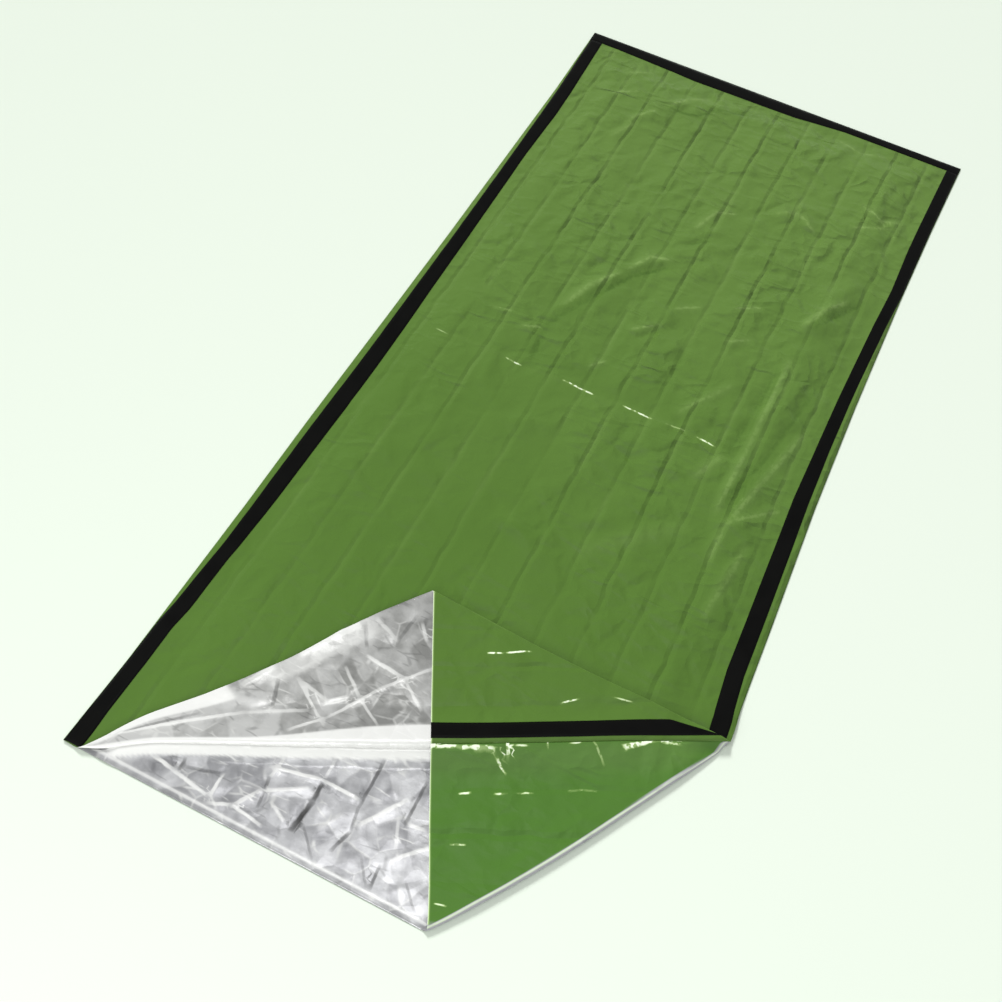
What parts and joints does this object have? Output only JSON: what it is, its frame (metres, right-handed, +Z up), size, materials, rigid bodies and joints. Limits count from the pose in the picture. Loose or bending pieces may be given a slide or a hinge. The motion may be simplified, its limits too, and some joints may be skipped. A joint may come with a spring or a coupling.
{
  "type": "emergency sleeping bag",
  "caption": "Rectangular film sleeping bag for emergencies, green outside and silver inside, lying flat with one mouth corner opened and folded back, black tape on its seams.",
  "frame": {"origin": "on the floor under the middle of the bag's outline", "axes": "+Z up, +Y along the bag from the mouth to the foot, +X to the side of the opened corner"},
  "size_m": [0.921, 2.0125, 0.0338],
  "materials": {
    "film_upper": "glossy green polyethylene film, silver metallised on the inside",
    "film_lower": "glossy green polyethylene film, silver metallised on the inside",
    "tape_black": "black adhesive tape, semi-gloss"
  },
  "bodies": {
    "root": {"lower_panel": "film_lower", "upper_panel": "film_upper", "tape_left": "tape_black", "tape_right": "tape_black", "tape_foot": "tape_black"}
  },
  "joints": []
}
